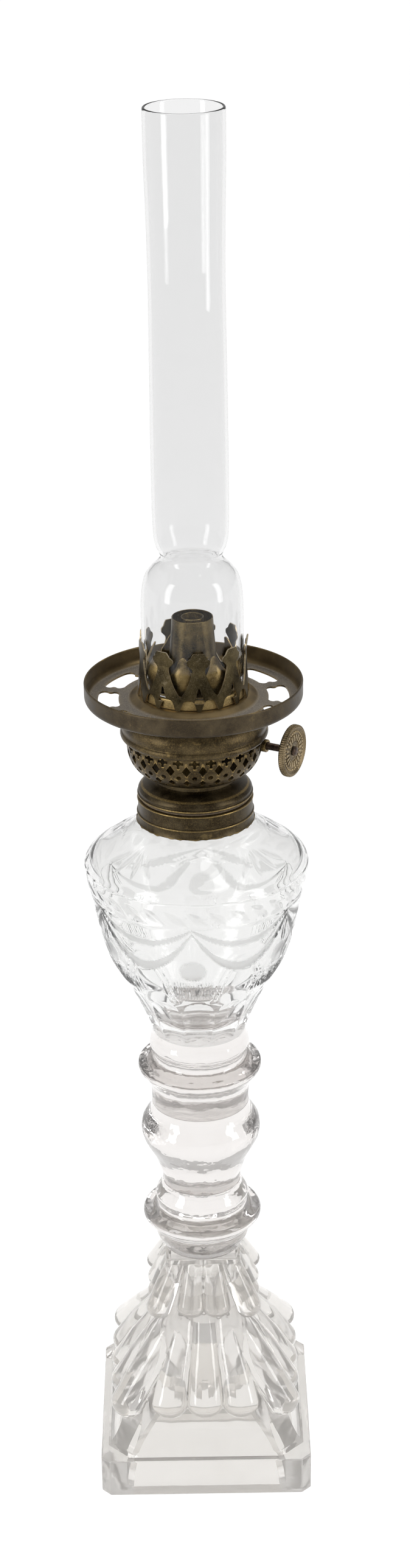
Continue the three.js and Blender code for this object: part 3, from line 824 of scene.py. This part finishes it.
PUNCHES = [
    (dict(sides=24, size=2.5, tall=1.0, pinch=0.5, place=(31.1, 0, 385.4)), 0),
    (dict(sides=4, size=2.1, tall=1.3, place=(30.9, 0, 381.5), lean=8), 0.5),
    (dict(sides=14, size=1.25, tall=0.95, place=(30, 0, 378), lean=22), 0),
    (dict(sides=4, size=1.85, tall=1.1, place=(28.7, 0, 375.1), lean=36), 0.5),
    (dict(sides=10, size=0.85, tall=0.8, place=(26.9, 0, 372.9), lean=50), 0),
]
for shape, stagger in PUNCHES:
    ring = [about((hole + stagger) * 360 / BASKET_HOLES - 90) for hole in range(BASKET_HOLES)]
    carve(bowl_piece, copies(punch(**shape), ring, "punches"))

# %% [markdown]
# ## The spindle's line
#
# The knob's spindle lies level, beside the wick, and points forward and to the right. Pieces on it
# are turned about Z and then laid on the line, with their height as the distance along it.

# %% Spindle line and its hole
knob_joint = next(joint for joint in frame["joints"] if joint["name"] == "knob_turn")
SPINDLE_HEIGHT = knob_joint["pos_m"][2] / MM
SPINDLE_TURN, BESIDE_WICK = -28, 14.5
ON_SPINDLE = (about(SPINDLE_TURN) @ Matrix.Translation((0, BESIDE_WICK * MM, SPINDLE_HEIGHT * MM))
              @ Matrix.Rotation(math.radians(90), 4, "Y"))


def lay(piece):
    """Lays a piece that was made along Z on to the spindle's line."""
    piece.data.transform(ON_SPINDLE)
    return piece


way_through = start("way", bpy.ops.mesh.primitive_cylinder_add, vertices=40, radius=3.3 * MM, depth=14 * MM,
                    location=(0, 0, 27 * MM))
close()
carve(bowl_piece, lay(way_through))
choose(bowl_piece)
bpy.ops.object.shade_smooth_by_angle(angle=math.radians(35))
fit(bowl_piece, "burner", "aged_brass", old_brass, "air_basket")

# %% Bush, spindle, knob
bush = turn("bush_turned", [(1.95, 24.5), *curve([(2.9, 24.5), (3, 24.7)], 1),
                            *curve([(3, 30.2), (2.8, 30.5)], 1), (1.95, 30.5)], 40)
fit(lay(bush), "burner", "aged_brass", old_brass, "spindle_bush")
shaft = turn("spindle_turned", [(0, -10.5), (1.5, -10.5), (1.7, -10.2), (1.7, 36),
                                *curve([(1.62, 36.6), (1.7, 37.2)], 2), (1.7, 43.7), (1.4, 43.9),
                                (0, 43.9)], 40)
fit(lay(shaft), "knob", "spindle_steel", dark_steel, "spindle")

# %% [markdown]
# ## Knob
#
# A pressed brass disc with a raised, milled rim. Its face carries a ring of beads and a ring of
# rays inside it, a plain ornament, round a rivet that holds it on the spindle.

# %% Disc with a milled rim
FACE = 44.7
RIM_TEETH = 72
disc = turn("knob_milled", [(2, FACE - 3.2), *curve([(11.3, FACE - 3.2), (12.1, FACE - 2.8),
                                                     (12.25, FACE - 2.2)], 3),
            *curve([(12.25, FACE - 1), (12.1, FACE - 0.4), (11.6, FACE - 0.05), (10.9, FACE - 0.05),
                    (10.4, FACE - 0.5),
                    (9.9, FACE - 0.85)], 3),
            (4.4, FACE - 0.85), (4.1, FACE - 0.6), (3.6, FACE - 0.6), (3.3, FACE - 0.85),
            (2, FACE - 0.85)], RIM_TEETH * 4, 30)
spots = read_spots(disc)
wide = np.hypot(spots[:, 0], spots[:, 1])
tooth = np.sin(np.arctan2(spots[:, 1], spots[:, 0]) * RIM_TEETH + 0.4) > 0
spots[:, :2] *= np.where((wide > 11.55 * MM) & tooth, 0.972, 1)[:, None]
write_spots(disc, spots)
fit(lay(disc), "knob", "worn_brass", knob_brass, "knob_disc")

# %% Beads, rays, hub and rivet
BEADS, RAYS = 36, 20
bead = start("bead", bpy.ops.mesh.primitive_uv_sphere_add, segments=10, ring_count=6, radius=0.62 * MM)
bpy.ops.transform.resize(value=(1, 1, 0.8))
close(60)
beads = copies(bead, [about(i * 360 / BEADS) @ Matrix.Translation((9 * MM, 0, (FACE - 0.85) * MM))
                      for i in range(BEADS)], "knob_beads")
ray = start("ray", bpy.ops.mesh.primitive_cube_add, size=MM)
bpy.ops.transform.resize(value=(2.9, 0.7, 0.9))
pick("FACE", lambda middle: middle.x > 1.4 * MM)
bpy.ops.transform.resize(value=(1, 2, 1))
bpy.ops.mesh.select_all(action="SELECT")
bpy.ops.mesh.bevel(offset=0.12 * MM, segments=2)
close(50)
rays = copies(ray, [about(i * 360 / RAYS) @ Matrix.Translation((6.3 * MM, 0, (FACE - 0.87) * MM))
                    for i in range(RAYS)], "knob_rays")
for ornament in (beads, rays):
    lay(ornament)
    ornament.data.materials.append(knob_brass)
    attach(ornament, "knob")
hub = turn("knob_boss", [(2, 38.5), *curve([(2.7, 38.5), (3.1, 39), (3.1, 40.4), (3.4, 41.2)], 3),
                         (2, 41.2)], 48)
fit(lay(hub), "knob", "worn_brass", knob_brass, "knob_hub")
rivet = turn("knob_pin", [(0, 44.2), (2.3, 44.2), *curve([(2.25, 44.6), (1.9, 45.1), (1.2, 45.4),
                                                          (0, 45.5)], 3)], 40)
fit(lay(rivet), "knob", "spindle_steel", dark_steel, "knob_rivet")

# %% [markdown]
# ## Wick tube, air tube and wick
#
# The flame stands on a ring of wick between two brass tubes. The outer one tapers to the top and
# has a rolled lip. The inner one brings air up the middle.

# %% Tubes and wick
WEB_TURN = -118
outer_tube = turn("tube_tapered", [(12.5, 361), *curve([(12.5, 400), (12.1, 410), (11.2, 421), (10.4, 431),
                  (9.8, 439), (9.5, 444.6)], 4), *curve([(9.45, 445.1), (9.2, 445.3), (8.95, 445.1)], 2),
                  *curve([(9.2, 439), (9.8, 431), (10.6, 421), (11.5, 410), (11.9, 400)], 4), (11.9, 361)],
                  96)
for place in (-3.5, 3.5):
    slot_tool = start("slot", bpy.ops.mesh.primitive_cube_add, size=MM)
    bpy.ops.transform.resize(value=(14, 11, 2))
    bpy.ops.transform.translate(value=(0, -4.5 * MM, place * MM))
    close()
    carve(outer_tube, lay(slot_tool))
fit(outer_tube, "burner", "aged_brass", tube_brass, "wick_tube")
inner_tube = turn("tube_air_turned", [(5.3, 361), (5.3, 444.9),
                                      *curve([(5.2, 445.2), (5, 445.3), (4.8, 445.2)], 2),
                  (4.7, 444.9), (4.7, 361)], 64)
web = start("web", bpy.ops.mesh.primitive_cube_add, size=MM)
bpy.ops.transform.resize(value=(6.3, 0.7, 38))
bpy.ops.transform.translate(value=(8.25 * MM, 0, 380 * MM))
close()
web.data.transform(about(WEB_TURN))
carve(inner_tube, web, "UNION")
fit(inner_tube, "burner", "aged_brass", tube_brass, "air_tube")
sleeve = turn("wick_sleeve", [(8.3, 366), (8.35, 438.6),
                              *curve([(8.2, 439.6), (7.6, 440), (6.5, 440), (5.9, 439.7)], 3),
                              (5.7, 438.6), (5.7, 366)], 72)
slit = start("slit", bpy.ops.mesh.primitive_cube_add, size=MM)
bpy.ops.transform.resize(value=(6, 2.2, 90))
bpy.ops.transform.translate(value=(8 * MM, 0, 403 * MM))
close()
slit.data.transform(about(WEB_TURN))
carve(sleeve, slit)
fit(sleeve, "wick", "wick_cotton", cotton, "wick")

# %% [markdown]
# ## Shade ring and skirt
#
# The gallery is a tray with a rolled rim that would carry a glass shade. Ten windows let air and
# light through, and the bridges between them swell in the middle. The skirt below hugs the
# basket.

# %% Tray with its windows
tray = turn("tray_spun", [(22.5, 407.5), *curve([(25.8, 407.5), (27.8, 406.5), (30, 405.2)], 3),
                          (47.2, 405.2),
            *curve([(48.6, 405.5), (49.6, 406.3), (50.1, 407.4), (50.2, 408.8)], 3), (50.2, 413.4),
            *curve([(50.25, 413.9), (50.1, 414.4), (49.75, 414.6), (49.4, 414.4), (49.3, 413.9)], 2),
            (49.3, 409),
            *curve([(49.2, 407.9), (48.6, 406.8), (47.6, 406.1), (46.6, 406)], 3), (30.3, 406),
            *curve([(28.2, 407.2), (26, 408.3)], 3), (22.5, 408.3)], 180)
BRIDGE = [(34.4, 4.2), (35.6, 2.7), (37.2, 2.5), (38.2, 3.3), (39.4, 3.4), (40.4, 2.5), (41.8, 2.4),
          (43.2, 3.4), (43.8, 5)]
side_line = [(far, 18 - math.degrees(half / far)) for far, half in curve(BRIDGE, 2)]
arc_line = [(34.4, step * side_line[0][1] / 6) for step in range(-5, 6)]
outer_line = [(43.9, step * side_line[-1][1] / 8) for step in range(7, -8, -1)]
window = [(far, turned) for far, turned in arc_line + side_line + outer_line] + [(far, -turned) for far,
    turned in side_line[::-1]]
window = [(far * math.cos(math.radians(turned)), far * math.sin(math.radians(turned))) for far,
          turned in window]
carve(tray, copies(plate("window", window, 403, 409), [about(39 + 36 * i) for i in range(10)], "windows"))
choose(tray)
bpy.ops.object.shade_smooth_by_angle(angle=math.radians(35))
fit(tray, "gallery", "aged_brass", tray_brass, "shade_ring")
skirt = turn("skirt_spun", walled(curve([(32.3, 387.5), (33.3, 387.9), (34, 388.7), (34.15, 389.8),
                                         (33.8, 390.7), (33.3, 391.3), (33.5, 392.3),
                                         (33.7, 394), (33.3, 395.9), (32.2, 397.8), (31.1, 399),
                                         (30.5, 400.6), (30.6, 402),
                                         (30.1, 402.8), (29.4, 403.7), (28.9, 404.9)], 4), 0.9), 160)
fit(skirt, "gallery", "aged_brass", old_brass, "gallery_skirt")

# %% [markdown]
# ## Crown
#
# The crown that grips the chimney is cut flat from sheet and rolled up. So it is made flat here
# too: a fine strip, with the gaps between its nine prongs, the holes in their stems and sixteen
# small arches punched out of it. The strip is then rolled, and its heads are bent outwards.

# %% Flat strip and its punches
CROWN_FOOT, CROWN_HIGH, CROWN_RADIUS = 408.7, 27.3, 25.3
PRONGS, ARCHES, CROWN_TURN = 9, 16, -84
AROUND = math.tau * CROWN_RADIUS
strip = start("crown_rolled", bpy.ops.mesh.primitive_grid_add, x_subdivisions=400, y_subdivisions=60,
              size=1)
bpy.ops.transform.resize(value=((AROUND - 0.3) * MM, CROWN_HIGH * MM, 1))
bpy.ops.transform.translate(value=(0, CROWN_HIGH * MM / 2, -0.35 * MM))
bpy.ops.mesh.extrude_region_move(TRANSFORM_OT_translate={"value": (0, 0, 0.7 * MM)})
close()
half_gap = [(0, 6.6), *curve([(0.5, 6.7), (1.6, 8.2), (3, 10.6), (4.2, 13.2), (5.1, 15.8), (5.75, 18),
                              (5.7, 19.6), (4.6, 20.8),
                              (3.5, 21.9)], 4), *curve([(3.3, 22.8), (3.5, 23.8), (4.4, 24.5), (5, 24.9)],
                                                       3),
            *curve([(5.1, 25.2), (5.6, 26.2), (6.4, 27.3)], 3), (6.5, 28.5)]
gap = half_gap[1:] + [(-x, y) for x, y in half_gap[:0:-1]]
pitch = AROUND / PRONGS


def along(shape, count, shift):
    """Copies a punch along the strip."""
    return copies(shape, [Matrix.Translation(((i + shift) * AROUND / count * MM - AROUND / 2 * MM, 0, 0))
                          for i in range(count + 1)],
                  "punches")


carve(strip, along(plate("gap", gap, -2, 2), PRONGS, 0))
carve(strip, along(plate("eye", curve([(-2.4, 3.7), (0, 3.5), (2.4, 3.7), (1.3, 7), (0.25, 10.6),
                                       (-0.25, 10.6), (-1.3, 7), (-2.4, 3.7)], 3)[:-1],
                         -2, 2), PRONGS, 0.5))
carve(strip, along(plate("arch", [(-4.1, -1), (4.1, -1),
                                  *curve([(4, 0), (3.2, 2.4), (2.2, 4.4), (0, 5.3), (-2.2, 4.4),
                                          (-3.2, 2.4),
                                                                 (-4, 0)], 4)], -2, 2), ARCHES, 0.5))

# %% Roll the strip
flat_x, up, through = (read_spots(strip) / MM).T
prong = np.floor(flat_x / pitch + PRONGS / 2)
flare = np.clip(up - 20.5, 0, None) * (0.09 + 0.05 * np.sin(prong * 2.4))
far = CROWN_RADIUS + through - 1.2 * np.sin(np.clip(up / 20.5, 0, 1) * math.pi / 2) + flare
turned_by = flat_x / CROWN_RADIUS + math.radians(CROWN_TURN)
write_spots(strip, np.stack([far * np.cos(turned_by), far * np.sin(turned_by), CROWN_FOOT + up], 1) * MM)
choose(strip)
bpy.ops.object.shade_smooth_by_angle(angle=math.radians(40))
fit(strip, "gallery", "aged_brass", crown_brass, "chimney_crown")

# %% [markdown]
# ## Leaves
#
# Eight sprung leaves stand inside the crown and steady the chimney from within. A leaf is a strip
# pressed into a spoon: narrow at the foot, wide at the belly, round at the tip.

# %% Seat and leaves
LEAVES, FIRST_LEAF = 8, -59
seat = turn("seat_leaved", [(24, 408.7), *curve([(24, 412.6), (23.8, 413), (23.4, 413.1)], 2),
                            (19.4, 413.1),
                            (19.4, 412.4), (23.2, 412.4), (23.2, 408.7)], 128)
leaf = start("leaf", bpy.ops.mesh.primitive_grid_add, x_subdivisions=12, y_subdivisions=26, size=2)
bpy.ops.mesh.extrude_region_move(TRANSFORM_OT_translate={"value": (0, 0, 0.6)})
close()
side, rise, through = read_spots(leaf).T
rise = (rise + 1) / 2
half_wide = np.interp(rise, [0, 0.1, 0.3, 0.45, 0.6, 0.75, 0.88, 0.96, 1],
                      [2.2, 3.6, 5.6, 6.2, 5.4, 3.4, 2.5, 1.7, 0.5])
belly = 1.5 * np.sin(np.pi * np.clip(rise, 0, 1)) * (1 - 0.7 * side ** 2) - np.clip(rise - 0.62, 0,
    None) * 6
far = 19.9 + belly + through
angle = side * half_wide / 21
write_spots(leaf, np.stack([far * np.cos(angle), far * np.sin(angle), 412.6 + 19 * rise], 1) * MM)
choose(leaf)
bpy.ops.object.mode_set(mode="EDIT")
close(40)
carve(seat, copies(leaf, [about(FIRST_LEAF + i * 360 / LEAVES) for i in range(LEAVES)], "leaves"), "UNION")
fit(seat, "gallery", "aged_brass", leaf_brass, "leaf_seat")

# %% [markdown]
# ## Chimney
#
# A blown tube with a wide foot, a tight waist that throws air into the flame, and a fire-polished
# lip. It is one spun wall of even thickness.

# %% Chimney
WALL = 1.4
face = curve([(23.2, 413.5), (23.3, 430), (23.35, 446), (23.1, 455), (22.3, 461.4), (20.6, 466.2),
              (18, 469.4), (15.6, 471.6), (14.3, 473.4),
              (14.1, 475), (14.9, 477), (16, 479.6), (16.8, 483), (17.15, 489), (17.35, 505), (17.4, 520),
              (17.15, 560), (16.9, 600),
              (17.3, 630), (17.8, 652), (17.9, 672.9)], 4)
outline = walled(face, WALL)
lip = curve([(17.9, 673.1), (17.7, 673.7), (17.2, 674), (16.7, 673.7), (16.5, 673.1)], 3)
outline = outline[:len(face)] + lip + outline[len(face):]
chimney = turn("chimney_blown", outline, 144, 60)
fit(chimney, "chimney", "chimney_glass", chimney_glass, "glass_chimney")

# %% [markdown]
# ## Hidden works
#
# The wheels, their bracket and the plaster are nearly hidden. Their CAD shapes are right, so they
# stay, with better finishes.

# %% Finishes for the hidden works
for node, material in (("wheel_bracket", old_brass), ("toothed_wheel_1", old_brass),
                       ("toothed_wheel_2", old_brass),
                       ("collar_plaster", old_plaster)):
    for holder in frame["nodes"][node].material_slots:
        holder.material = material
    print(node, "wears", material.name)
